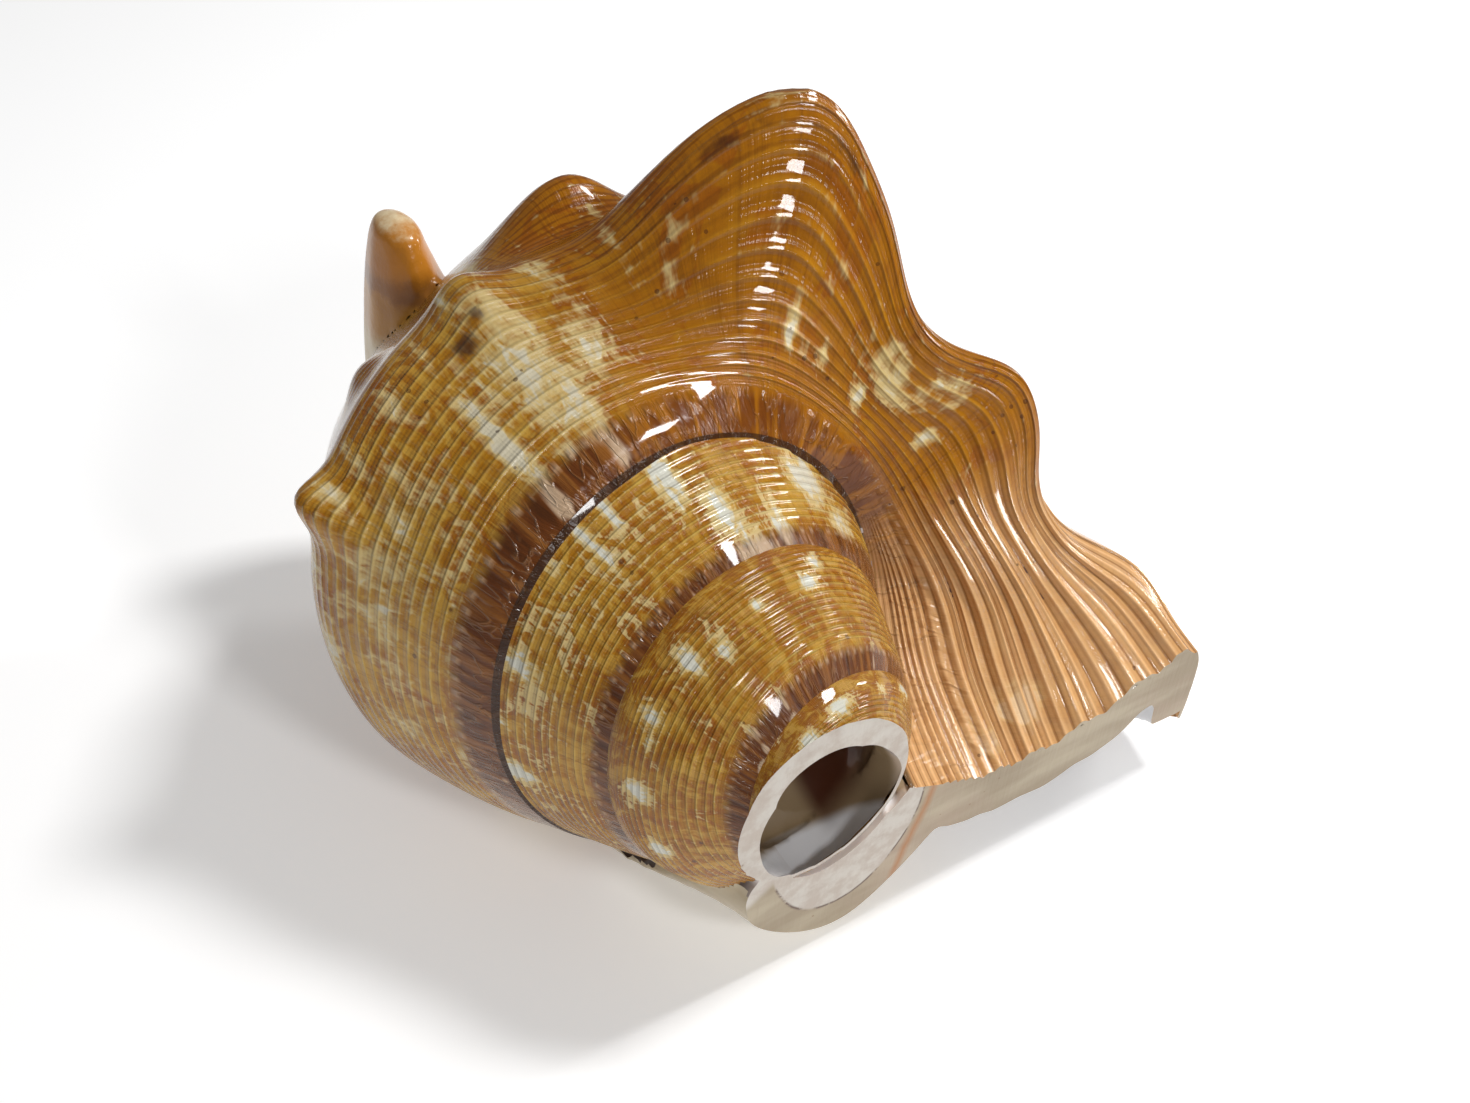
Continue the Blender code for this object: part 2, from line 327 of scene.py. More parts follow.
def slice_flat(mesh):
    """Slices a mesh by the ground plane and the plane it rests on."""
    work = bmesh.new()
    work.from_mesh(mesh)
    for point, normal in ((CUT_POINT, CUT_NORMAL), (REST_POINT, REST_NORMAL)):
        bmesh.ops.bisect_plane(
            work,
            geom=work.verts[:] + work.edges[:] + work.faces[:],
            dist=1e-7,
            plane_co=point,
            plane_no=normal,
            clear_inner=True,
        )
    work.to_mesh(mesh)
    work.free()


def keep_measures(mesh, turn, place, pale, dark):
    """Stores turn and place, and how pale or dark the shell is there, at every point."""
    for name, numbers in (("turn", turn), ("place", place), ("pale", pale), ("dark", dark)):
        layer = mesh.attributes.new(name, "FLOAT", "POINT")
        layer.data.foreach_set("value", np.asarray(numbers, np.float32).ravel())


def new_piece(name, mesh, material, shade_smooth):
    piece = bpy.data.objects.new(name, mesh)
    bpy.context.scene.collection.objects.link(piece)
    mesh.materials.append(material)
    mesh.polygons.foreach_set("use_smooth", [shade_smooth] * len(mesh.polygons))
    mesh.update()
    return piece


# %% [markdown]
# ## Where this shell is pale and where it is dark
# Every shell has its own flames. On this one cream and grey-white flames cross the threads at
# certain turns, white spots sit above the seams, and chocolate patches lie on the shoulder. They are
# listed by turn and place, like marks on a map, and the edges are broken up later in the material.

# %% Flames and spots
# Turn, place, half width in degrees, half width in places, strength.
PALE_MARKS = [
    (-155, 2.0, 42.0, 1.1, 0.42), (-104, 2.1, 14.0, 1.0, 0.6), (-500, 2.1, 60.0, 0.9, 0.3),
    (-117, 0.6, 3.5, 1.0, 0.9), (-99, 0.6, 3.0, 1.0, 0.75), (-117, 1.7, 3.6, 0.8, 1.0),
    (-101, 1.6, 7.0, 0.75, 0.72), (-91, 2.0, 5.0, 0.5, 0.7), (-108, 1.25, 4.0, 0.3, 0.6),
    (-143, 2.1, 5.0, 0.28, 0.75), (-146, 2.8, 2.5, 0.3, 0.8), (-163, 2.0, 3.0, 0.8, 0.55),
    (-188, 2.0, 7.0, 0.6, 0.5), (-172, 1.9, 3.0, 0.7, 0.4), (-178, 2.9, 10.0, 0.28, 0.75),
    (-160, 3.1, 8.0, 0.3, 0.6), (-127, 2.7, 4.0, 0.25, 0.5), (-107, 3.0, 1.2, 0.35, 0.9),
    (-116, 2.8, 1.5, 0.4, 0.6), (-139, 2.8, 1.5, 0.35, 0.6), (-90, 2.9, 4.0, 0.5, 0.55),
    (-56, 1.9, 1.6, 0.22, 0.8), (-49, 1.9, 1.4, 0.22, 0.65), (-40, 1.8, 1.6, 0.25, 0.75),
    (-36, 2.3, 9.0, 0.3, 0.6), (-27, 2.05, 2.2, 0.22, 0.85), (-31, 2.5, 5.0, 0.2, 0.5),
    (-78, 2.7, 1.2, 0.4, 0.6), (-62, 2.95, 2.5, 0.2, 0.5), (-132, 1.0, 0.8, 0.5, 0.6),
    (-139, 0.7, 0.5, 0.6, 0.7), (-155, 0.6, 0.5, 0.7, 0.65), (-172, 0.6, 0.6, 0.7, 0.65),
    (-194, 0.3, 4.0, 0.4, 0.5), (-150, 1.34, 1.0, 0.08, 0.8), (-190, 1.3, 8.0, 0.1, 0.6),
    (-548, 2.5, 4.0, 0.35, 1.0), (-532, 2.6, 2.5, 0.2, 0.8), (-514, 2.4, 3.5, 0.4, 0.9),
    (-489, 2.6, 1.5, 0.3, 0.8), (-478, 2.3, 2.0, 0.6, 0.9), (-470, 2.5, 1.5, 0.35, 0.9),
    (-453, 2.4, 3.5, 0.5, 1.0), (-444, 1.7, 4.0, 0.5, 1.0), (-440, 0.8, 8.0, 0.7, 0.9),
    (-428, 1.2, 4.0, 0.8, 0.75), (-410, 2.0, 10.0, 0.6, 0.95), (-400, 1.4, 10.0, 0.5, 0.7),
    (-418, 0.4, 3.0, 0.6, 0.6), (-530, 0.5, 1.2, 0.7, 0.8), (-502, 0.7, 1.0, 0.6, 0.6),
    (-478, 0.5, 1.4, 0.7, 0.7), (-466, 0.5, 1.6, 0.6, 0.7), (-551, 0.5, 1.0, 0.7, 0.6),
    (-915, 2.4, 5.0, 0.22, 1.0), (-890, 2.55, 4.0, 0.3, 1.0), (-871, 2.5, 3.0, 0.12, 0.8),
    (-863, 2.6, 4.0, 0.3, 0.95), (-841, 2.55, 3.5, 0.35, 1.0), (-830, 2.3, 3.0, 0.35, 0.8),
    (-812, 2.45, 2.5, 0.15, 0.9), (-790, 2.45, 5.0, 0.2, 0.95), (-783, 2.75, 3.0, 0.2, 0.9),
    (-853, 0.3, 4.0, 0.4, 0.9), (-845, 0.6, 2.0, 0.4, 0.8), (-824, 0.3, 3.5, 0.5, 0.8),
    (-843, 1.1, 1.5, 0.3, 0.8), (-824, 1.0, 1.5, 0.3, 0.8), (-770, 0.8, 1.5, 0.5, 0.6),
    (-700, 2.4, 12.0, 0.3, 0.7), (-650, 2.4, 10.0, 0.3, 0.7), (-610, 2.5, 8.0, 0.3, 0.7),
    (-1245, 2.9, 9.0, 0.4, 1.0), (-1216, 2.8, 6.0, 0.35, 0.9), (-1186, 2.9, 7.0, 0.35, 1.0),
    (-1160, 3.1, 8.0, 0.35, 1.0), (-1128, 3.2, 4.0, 0.3, 0.7), (-1105, 3.5, 6.0, 0.4, 1.0),
    (-300, 2.0, 14.0, 1.0, 0.5), (-240, 2.2, 14.0, 0.8, 0.5), (-215, 2.4, 6.0, 0.6, 0.5),
    (13, 1.75, 4.0, 0.35, 0.9), (16, 1.2, 3.0, 0.3, 0.8), (-45, 5.6, 8.0, 0.8, 0.6),
    (-95, 5.2, 6.0, 0.9, 0.7), (-130, 6.0, 9.0, 1.0, 0.6), (-10, 6.4, 7.0, 1.0, 0.6),
    (-65, 7.4, 10.0, 0.7, 0.6), (5, 4.6, 4.0, 0.5, 0.5), (-175, 5.0, 9.0, 0.9, 0.6),
]
DARK_MARKS = [
    (-109, 2.5, 4.0, 0.17, 1.0), (-105, 2.6, 3.5, 0.1, 0.8), (-122, 1.7, 1.2, 0.4, 0.4),
    (-68, 2.8, 6.0, 0.1, 0.7), (-55, 2.75, 4.0, 0.12, 0.6), (-46, 2.95, 3.0, 0.3, 0.35),
    (-130, 2.9, 6.0, 0.2, 0.4), (-108, 3.15, 2.0, 0.3, 0.55), (0, 2.68, 12.0, 0.06, 0.9),
    (-9, 2.85, 4.0, 0.2, 0.4), (-1, 2.0, 0.9, 0.9, 0.6), (6.5, 2.0, 0.8, 0.9, 0.5),
    (-151, 1.34, 1.2, 0.05, 0.9), (-30, 0.9, 14.0, 0.35, 0.5), (-20, 3.0, 2.5, 0.4, 0.4),
    (-16, 1.9, 2.0, 0.6, 0.35), (-445, 2.6, 4.0, 0.3, 0.4), (-560, 2.0, 6.0, 0.8, 0.3),
]


def mark_strength(turn, place, marks):
    total = np.zeros_like(turn)
    for mark_turn, mark_place, half_turn, half_place, strength in marks:
        if mark_turn < -420:  # The blotches of the spire are broad for its small whorls.
            half_turn, half_place = 1.35 * half_turn, 1.2 * half_place
        near = (abs(turn - mark_turn) < 3 * half_turn) & (abs(place - mark_place) < 3 * half_place)
        if near.any():
            value = strength * bell(turn[near], mark_turn, half_turn)
            value *= bell(place[near], mark_place, half_place)
            total[near] = np.maximum(total[near], value)
    return total


print("pale marks", len(PALE_MARKS), "dark marks", len(DARK_MARKS))


# %% [markdown]
# ## Outside of the wall
# The outside is where the eye rests, so it gets the finest grid, with its threads and ribs as real
# relief. Rows of place are packed where the threads are, and rows of turn where the lip flares. One
# grid is made and then shared out into the spire, the body whorl and the flared lip, so that the
# pieces meet exactly.

# %% Build the outside
FIRST_TURN = -1300.0
SPIRE_END = -420.0
LIP_START = -60.0
# Past this place the spire's own wall is hidden under the next whorl.
SPIRE_LAST_PLACE = 4.65
threaded = np.concatenate([[-0.6], np.arange(0.0, 3.2, 0.0155)])
places = np.concatenate([threaded, np.arange(3.2, 9.01, 0.1)])
turns = np.concatenate([
    np.arange(FIRST_TURN, SPIRE_END, 2.0),
    np.arange(SPIRE_END, LIP_START, 1.15),
    np.linspace(LIP_START, LIP_ANGLE, 264),
])
outside_points = surface(turns, places, threads=True)
outside_normals = normals_of(outside_points)


def outside_piece(name, first, last, last_place=9.0):
    """The stretch of the outside between two turns, sliced by the ground plane and the rest plane."""
    start = max(np.searchsorted(turns, first + 0.01) - 1, 0)
    rows = np.arange(start, np.searchsorted(turns, last + 0.01))
    columns = np.flatnonzero(places <= last_place)
    points = outside_points[np.ix_(rows, columns)]
    turn, place = np.meshgrid(turns[rows], places[columns], indexing="ij")
    mesh = bpy.data.meshes.new(name)
    faces = grid_faces(len(rows), len(columns), flip=True)
    mesh.from_pydata(boxed(points).reshape(-1, 3).tolist(), [], faces)
    pale, dark = [mark_strength(turn, place, marks) for marks in (PALE_MARKS, DARK_MARKS)]
    keep_measures(mesh, turn, place, pale, dark)
    layer = mesh.attributes.new("skin_normal", "FLOAT_VECTOR", "POINT")
    layer.data.foreach_set("vector", outside_normals[np.ix_(rows, columns)].astype(np.float32).ravel())
    slice_flat(mesh)
    kept = np.empty(len(mesh.vertices) * 3, np.float32)
    mesh.attributes["skin_normal"].data.foreach_get("vector", kept)
    mesh.attributes.remove(mesh.attributes["skin_normal"])
    mesh.polygons.foreach_set("use_smooth", [True] * len(mesh.polygons))
    mesh.normals_split_custom_set_from_vertices(kept.reshape(-1, 3).tolist())
    print(name, len(mesh.polygons), "faces")
    return mesh


spire_mesh = outside_piece("spire", FIRST_TURN, SPIRE_END, SPIRE_LAST_PLACE)
body_mesh = outside_piece("body_whorl", SPIRE_END, LIP_START)
lip_mesh = outside_piece("flared_lip", LIP_START, LIP_ANGLE)

# %% [markdown]
# ## The body of the shell
# Under the sculptured skin lies the shell itself: the wall with its thickness, the column that the
# whorls wind round, the pad of callus under the hole and the canal at the front. On the real shell
# they are one mineral, laid down layer on layer, so here they are merged by a fine voxel remesh. It
# stays a hair under the skin. Then come the cuts: the hole is reamed with a cone, the back is ground
# along a leaning plane, and the belly is worn flat where it lies on the table.

# %% Rings, wall and merge
def ring(count, point):
    """A closed ring: what point gives at equal steps of angle."""
    return [point(2 * math.pi * i / count) for i in range(count)]


def ring_body(rings):
    """Points and faces of a closed body through rings of equal point counts."""
    count = len(rings[0])
    points = np.array([p for ring in rings for p in ring], float)
    faces = []
    for r in range(len(rings) - 1):
        for i in range(count):
            j = (i + 1) % count
            low = r * count
            faces.append((low + i, low + j, low + count + j, low + count + i))
    faces.append(tuple(range(count - 1, -1, -1)))
    last = (len(rings) - 1) * count
    faces.append(tuple(last + i for i in range(count)))
    return points, faces


def closed_wall(wall_turns, wall_places, under):
    """The wall as a closed sheet with its own thickness, a little under the skin."""
    outer = surface(wall_turns, wall_places)
    normal = normals_of(outer)
    turn, place = np.meshgrid(wall_turns, wall_places, indexing="ij")
    inner = outer - normal * wall_thickness(turn, place)[..., None]
    outer = outer - normal * under
    rows, columns = len(wall_turns), len(wall_places)
    count = rows * columns
    faces = grid_faces(rows, columns)
    faces += [tuple(count + k for k in face[::-1]) for face in grid_faces(rows, columns)]
    for i in range(rows - 1):
        a, b = i * columns, (i + 1) * columns
        faces.append((a, b, count + b, count + a))
        c, d = a + columns - 1, b + columns - 1
        faces.append((d, c, count + c, count + d))
    for j in range(columns - 1):
        faces.append((j + 1, j, count + j, count + j + 1))
        k = (rows - 1) * columns + j
        faces.append((k, k + 1, count + k + 1, count + k))
    return np.concatenate([outer.reshape(-1, 3), inner.reshape(-1, 3)]), faces


def closed_mesh(name, bodies):
    """Several closed bodies in one mesh, each facing outwards."""
    points, faces, count = [], [], 0
    for body_points, body_faces in bodies:
        points.append(metres(body_points))
        faces += [tuple(count + k for k in face) for face in body_faces]
        count += len(body_points)
    mesh = bpy.data.meshes.new(name)
    mesh.from_pydata(np.concatenate(points).tolist(), [], faces)
    work = bmesh.new()
    work.from_mesh(mesh)
    bmesh.ops.recalc_face_normals(work, faces=work.faces)
    work.to_mesh(mesh)
    work.free()
    return mesh


column_rings = []
for along in np.linspace(-16, 112, 60):
    radius = 3.2 + 2.6 * float(ease(along, 0, 110))
    ring_turns = np.linspace(0, 2 * math.pi, 28, endpoint=False)
    column_rings.append([(radius * math.cos(a), along, radius * math.sin(a)) for a in ring_turns])

# Sections of the pad across (x, z), at the ground end and where it runs out on the belly.
PAD_BACK = [
    (-11, -10), (-10.5, -18), (-8.6, -22.5), (-1.5, -29.3), (7, -33),
    (14.5, -28), (21, -22), (25, -16), (17, -8), (4, -14),
]
PAD_FRONT = [
    (-17, -27), (-16, -28), (-12, -30), (-2, -33), (8, -33),
    (14, -31), (19, -28), (21, -25), (15, -27), (0, -31),
]


def rounded(outline, count=60):
    """A closed outline with softened corners."""
    corners = np.array(outline, float)
    rows = []
    for value in np.linspace(0, len(outline), count, endpoint=False):
        i, u = int(value), value - int(value)
        a, b, c, d = (corners[(i + k) % len(outline)] for k in (-1, 0, 1, 2))
        near_start = (1 - u) ** 3 * a + (3 * u**3 - 6 * u**2 + 4) * b
        rows.append((near_start + (1 + 3 * u + 3 * u**2 - 3 * u**3) * c + u**3 * d) / 6)
    return np.array(rows)


pad_rings = []
for along in np.linspace(-9, 36, 46):
    part = float(ease(along, -4, 32))
    outline = rounded(PAD_BACK) * [1.05, 1.03] * (1 - part) + rounded(PAD_FRONT) * part
    ripple = 0.12 * math.sin(along * 1.7) + 0.08 * math.sin(along * 3.9)
    pad_rings.append([(x, along, z + ripple) for x, z in outline])

# The canal: its middle line and its half widths, across and deep.
CANAL_LINE = [
    (0, 99, -3), (0, 106, 2), (-1, 109, 12), (-2.5, 110, 22), (-3.5, 110, 32), (-3.5, 109.5, 38),
]
CANAL_SIZE = [(9, 10), (12, 13), (10, 13), (7, 10.5), (4.5, 7.5), (3, 5)]


def canal_rings(grow):
    steps = np.linspace(0, 5, 90)
    centres = smooth(steps, range(6), CANAL_LINE)
    sizes = smooth(steps, range(6), CANAL_SIZE)
    ways = np.gradient(centres, axis=0)
    made = []
    for centre, size, way, step in zip(centres, sizes, ways, steps):
        way = way / np.linalg.norm(way)
        side = np.array([1.0, 0.0, 0.0]) - way * way[0]
        side /= np.linalg.norm(side)
        front = np.cross(way, side)
        round_tip = math.sqrt(max(0.05, 1 - (float(ease(step, 4.6, 5.06))) ** 2))

        def point(a):
            ripple = round_tip * (1 + 0.015 * math.cos(9 * a + step))
            sideways = side * (size[0] + grow) * ripple * math.cos(a)
            return centre + sideways + front * (size[1] + grow) * ripple * math.sin(a)

        made.append(ring(72, point))
    return made


VOXEL = 0.00082
wall_turns = np.arange(FIRST_TURN, LIP_ANGLE + 0.01, 2.0)
wall_places = np.concatenate([[-1.0], np.linspace(0.0, 9.0, 100)])
UNDER_SKIN = 0.32
wall = closed_wall(wall_turns, wall_places, UNDER_SKIN)
bodies = [wall, ring_body(column_rings), ring_body(pad_rings), ring_body(canal_rings(-0.1))]
core = bpy.data.objects.new("core", closed_mesh("core", bodies))
bpy.context.scene.collection.objects.link(core)
remesh = core.modifiers.new("one_body", "REMESH")
remesh.mode = "VOXEL"
remesh.voxel_size = VOXEL
soften = core.modifiers.new("soften", "SMOOTH")
soften.factor = 0.5
soften.iterations = 4

# %% [markdown]
# ## The cuts
# Each tool is a simple closed body taken out of the shell. The ream is not quite round, as a hand
# tool leaves it, and a short passage opens from its upper right into the hollow of the next whorl.

# %% Ream, grind and wear
# Place along the axis and radius of the hole, and where its middle lies across, in millimetres.
REAM_ALONG = [-20, -6, -2, 4, 10, 16]
REAM_RADIUS = [13.5, 12.6, 11.6, 11.0, 9.5, 6.5]
HOLE_X = 1.5
HOLE_Z = -4.5
HOLE_STRETCH = 1.05
ream_along = np.linspace(-20, 16, 40)
ream_radius = smooth(ream_along, REAM_ALONG, REAM_RADIUS)


def ream_ring(along, radius):
    def point(a):
        uneven = radius * (1 + 0.012 * math.sin(3 * a + 0.6) + 0.008 * math.sin(7 * a))
        uneven *= 1 + 0.12 * max(0.0, math.cos(a + math.pi / 4)) ** 2
        return HOLE_X + uneven * math.cos(a), along, HOLE_Z + HOLE_STRETCH * uneven * math.sin(a)
    return ring(96, point)


def passage_ring(step):
    def point(a):
        wide = (4.6 - 1.2 * step) * (1 + 0.06 * math.sin(3 * a + 4 * step))
        wide *= math.sqrt(max(0.02, 1 - (2 * step - 1) ** 8))
        x = 6.5 + 6 * step + wide * math.cos(a)
        return x, 4 + 12 * step, 1.2 + 2 * step + 0.8 * wide * math.sin(a)
    return ring(48, point)


ream_rings = [ream_ring(along, radius) for along, radius in zip(ream_along, ream_radius)]
passage_rings = [passage_ring(step) for step in np.linspace(0, 1, 24)]

# The grind and the wear are boxes, far larger than the shell.
FAR = 150
box_rings = []
for deep in (-120, 0):
    corners = ((-FAR, -FAR), (FAR, -FAR), (FAR, FAR), (-FAR, FAR))
    box_rings.append([(x, CUT_PLACE + CUT_SLOPE * z + deep, z) for x, z in corners])
wear_rings = []
for z in (-FAR, REST_HEIGHT):
    wear_rings.append([(x, y, z) for x, y in ((-FAR, -60), (FAR, -60), (FAR, 180), (-FAR, 180))])

tools = []
TOOL_RINGS = {"ream": ream_rings, "passage": passage_rings, "grind": box_rings, "wear": wear_rings}
for name, rings in TOOL_RINGS.items():
    tool = bpy.data.objects.new(name, closed_mesh(name, [ring_body(rings)]))
    bpy.context.scene.collection.objects.link(tool)
    cut = core.modifiers.new(name, "BOOLEAN")
    cut.operation = "DIFFERENCE"
    cut.solver = "MANIFOLD"
    cut.object = tool
    tools.append(tool)
core_mesh = bpy.data.meshes.new_from_object(core.evaluated_get(bpy.context.evaluated_depsgraph_get()))
for spent in tools + [core]:
    bpy.data.objects.remove(spent)
print("core", len(core_mesh.polygons), "faces")

# %% [markdown]
# ## Sorting the body by what shaped it
# A face on the ground plane is the dull ground end. Faces on the cone of the ream are the polished
# hole. What lies in the pad or the canal gets their finish, and the rest is the glazed inside. Faces
# that the skin covers anyway are left out.

# %% Sort the faces
from mathutils.bvhtree import BVHTree


def face_vectors(mesh, kind):
    found = np.empty(len(mesh.polygons) * 3)
    mesh.polygons.foreach_get(kind, found)
    return found.reshape(-1, 3)


count = len(core_mesh.polygons)
centres = face_vectors(core_mesh, "center")
normals = face_vectors(core_mesh, "normal")
inner_mm = centres * 1000.0 + ORIGIN

ground_distance = (centres - np.array(CUT_POINT)) @ np.array(CUT_NORMAL)
on_ground = (abs(ground_distance) < 2e-5) & (normals @ np.array(CUT_NORMAL) < -0.98)
on_rest = (centres[:, 2] < 2e-5) & (normals[:, 2] < -0.98)

ream_here = smooth(inner_mm[:, 1], REAM_ALONG, REAM_RADIUS)
from_middle = np.hypot(inner_mm[:, 0] - HOLE_X, (inner_mm[:, 2] - HOLE_Z) / HOLE_STRETCH)
in_hole = (abs(from_middle - ream_here) < 0.35) & (inner_mm[:, 1] < 15) & ~on_ground

skin_faces = grid_faces(len(turns[::4]), len(places[::3]))
columns = len(places[::3])
bare = places[::3] > SPIRE_LAST_PLACE
spire_rows = int((turns[::4] < SPIRE_END).sum())
skin_faces = [f for f in skin_faces if not (f[0] // columns < spire_rows and bare[f[0] % columns])]
skin_points = metres(outside_points[::4, ::3]).reshape(-1, 3).tolist()
skin_tree = BVHTree.FromPolygons(skin_points, skin_faces)
under_skin = np.zeros(count, bool)
for i in range(count):
    if on_ground[i] or on_rest[i] or in_hole[i]:
        continue
    hit = skin_tree.find_nearest(centres[i], 0.0007)
    if hit[0] is not None and abs(Vector(normals[i]).dot(hit[1])) > 0.75:
        away = Vector(centres[i]) - hit[0]
        under_skin[i] = away.dot(Vector(normals[i])) < 0

canal_steps = np.linspace(0, 5, 60)
canal_centres = smooth(canal_steps, range(6), CANAL_LINE)
canal_sizes = smooth(canal_steps, range(6), CANAL_SIZE)
near_canal = np.zeros(count, bool)
for centre, size in zip(canal_centres, canal_sizes):
    reach = np.array([size[0], size[1], max(size) * 0.7])
    near_canal |= np.linalg.norm((inner_mm - centre) / reach, axis=1) < 1.15
in_canal = near_canal & (inner_mm[:, 1] > 96) & (inner_mm[:, 2] > -18)
in_pad = (inner_mm[:, 1] < 40) & (inner_mm[:, 2] < -14)
in_pad &= (abs(inner_mm[:, 0]) < 28) & (normals[:, 2] < 0.35)
print("ground", on_ground.sum(), "hole", in_hole.sum(), "under the skin", under_skin.sum())


def part_of_core(name, chosen):
    """The chosen faces of the body as a mesh of their own."""
    work = bmesh.new()
    work.from_mesh(core_mesh)
    work.faces.ensure_lookup_table()
    bmesh.ops.delete(work, geom=[work.faces[i] for i in np.flatnonzero(~chosen)], context="FACES")
    mesh = bpy.data.meshes.new(name)
    work.to_mesh(mesh)
    work.free()
    print(name, len(mesh.polygons), "faces")
    return mesh


flat = on_ground | on_rest
ground_mesh = part_of_core("ground_face", flat)
hole_mesh = part_of_core("hole_wall", in_hole & ~under_skin)
left_over = ~under_skin & ~flat & ~in_hole
canal_mesh = part_of_core("canal", in_canal & left_over)
pad_mesh = part_of_core("callus_pad", in_pad & left_over & ~in_canal)
inner_mesh = part_of_core("glazed_inside", left_over & ~in_canal & ~in_pad)

# %% [markdown]
# ## Finish of the shell
# Old shell is built of thin layers, so it is glossy over a soft grain. Five shared effects make it up:
# the dark wrinkled band below each seam, the threads, the broken flames, the clouds with their pits,
# and the marks of grinding. Each is a group that gives back masks or heights, so that any finish can
# use it. The helpers below let a mask be written as a sum: every plus or times adds one node.

# %% Node helpers
class Value:
    """What a node gives out, ready to be reckoned with."""

    def __init__(self, socket):
        self.socket = socket
        self.tree = socket.id_data

    def __add__(self, other):
        return reckon("ADD", self, other)

    def __sub__(self, other):
        return reckon("SUBTRACT", self, other)

    def __rsub__(self, other):
        return reckon("SUBTRACT", other, self)

    def __mul__(self, other):
        return reckon("MULTIPLY", self, other)

    def __truediv__(self, other):
        return reckon("DIVIDE", self, other)

    def scaled(self, by, plus):
        return reckon("MULTIPLY_ADD", self, by, plus)

    def swing(self, amount):
        """A noise moved to swing about zero."""
        return (self - 0.5) * amount

    def between(self, low, high, out_low=0.0, out_high=1.0):
        """A soft step from out_low at low to out_high at high."""
        node = self.tree.nodes.new("ShaderNodeMapRange")
        node.interpolation_type = "SMOOTHSTEP"
        for label, value in (
            ("Value", self), ("From Min", low), ("From Max", high), ("To Min", out_low), ("To Max", out_high)
        ):
            wire(value, node.inputs[label])
        return Value(node.outputs["Result"])


def wire(value, socket):
    """Links a Value to a socket, or sets the socket to a number or a colour."""
    if isinstance(value, Value):
        value.tree.links.new(value.socket, socket)
    else:
        socket.default_value = value


def reckon(operation, *values, clamp=False):
    tree = next(value.tree for value in values if isinstance(value, Value))
    node = tree.nodes.new("ShaderNodeMath")
    node.operation = operation
    node.use_clamp = clamp
    for value, socket in zip(values, node.inputs):
        wire(value, socket)
    return Value(node.outputs[0])


def line_at(value):
    """A soft line where a value passes zero, gone where it reaches one."""
    return reckon("SUBTRACT", 1.0, reckon("ABSOLUTE", value), clamp=True)


def noise(where, scale, detail=3.0, roughness=0.55, distortion=0.0):
    node = where.tree.nodes.new("ShaderNodeTexNoise")
    for label, value in (
        ("Vector", where), ("Scale", scale), ("Detail", detail),
        ("Roughness", roughness), ("Distortion", distortion),
    ):
        wire(value, node.inputs[label])
    return Value(node.outputs["Fac"])


def combine(x, y):
    node = x.tree.nodes.new("ShaderNodeCombineXYZ")
    wire(x, node.inputs["X"])
    wire(y, node.inputs["Y"])
    return Value(node.outputs[0])


def object_place(tree):
    return Value(tree.nodes.new("ShaderNodeTexCoord").outputs["Object"])


def axes(tree):
    """Where a point lies in the frame, as x, y and z in metres."""
    node = tree.nodes.new("ShaderNodeSeparateXYZ")
    wire(object_place(tree), node.inputs[0])
    return [Value(socket) for socket in node.outputs]


def mix(amount, below, above, mode="MIX"):
    """Lays one colour over another by an amount."""
    node = amount.tree.nodes.new("ShaderNodeMix")
    node.data_type = "RGBA"
    node.blend_type = mode
    # Sockets 6 and 7 and output 2 are the ones for colours.
    for index, value in ((0, amount), (6, below), (7, above)):
        wire(value, node.inputs[index])
    return Value(node.outputs[2])


def new_group(name, **numbers):
    """A group with a number socket for each name, and its inputs as Values."""
    group = bpy.data.node_groups.new(name, "ShaderNodeTree")
    labels = [label.replace("_", " ") for label in numbers]
    for label, number in zip(labels, numbers.values()):
        socket = group.interface.new_socket(label, in_out="INPUT", socket_type="NodeSocketFloat")
        socket.default_value = number
    entry = group.nodes.new("NodeGroupInput")
    return group, [Value(entry.outputs[label]) for label in labels]


def group_results(group, **results):
    for label in results:
        group.interface.new_socket(label, in_out="OUTPUT", socket_type="NodeSocketFloat")
    way_out = group.nodes.new("NodeGroupOutput")
    for label, value in results.items():
        wire(value, way_out.inputs[label])


def effect(tree, group, **values):
    """Uses a group in a material and gives back its outputs by name."""
    node = tree.nodes.new("ShaderNodeGroup")
    node.node_tree = group
    for label, value in values.items():
        wire(value, node.inputs[label.replace("_", " ")])
    return {socket.name: Value(socket) for socket in node.outputs}


def tone(red, green, blue):
    """A colour seen in daylight, given as the eye sees it, turned into light."""
    parts = [part / 255.0 for part in (red, green, blue)]
    return tuple(c / 12.92 if c <= 0.04045 else ((c + 0.055) / 1.055) ** 2.4 for c in parts) + (1.0,)


# %% [markdown]
# ### Band, threads and flames
# The band below a seam is smooth, dark and wrinkled across, and it ends in a row of small beads. The
# threads carry less brown than the grooves between them. Flames are noise drawn out across the
# threads, narrow along the turn, so that their edges come out as little teeth.

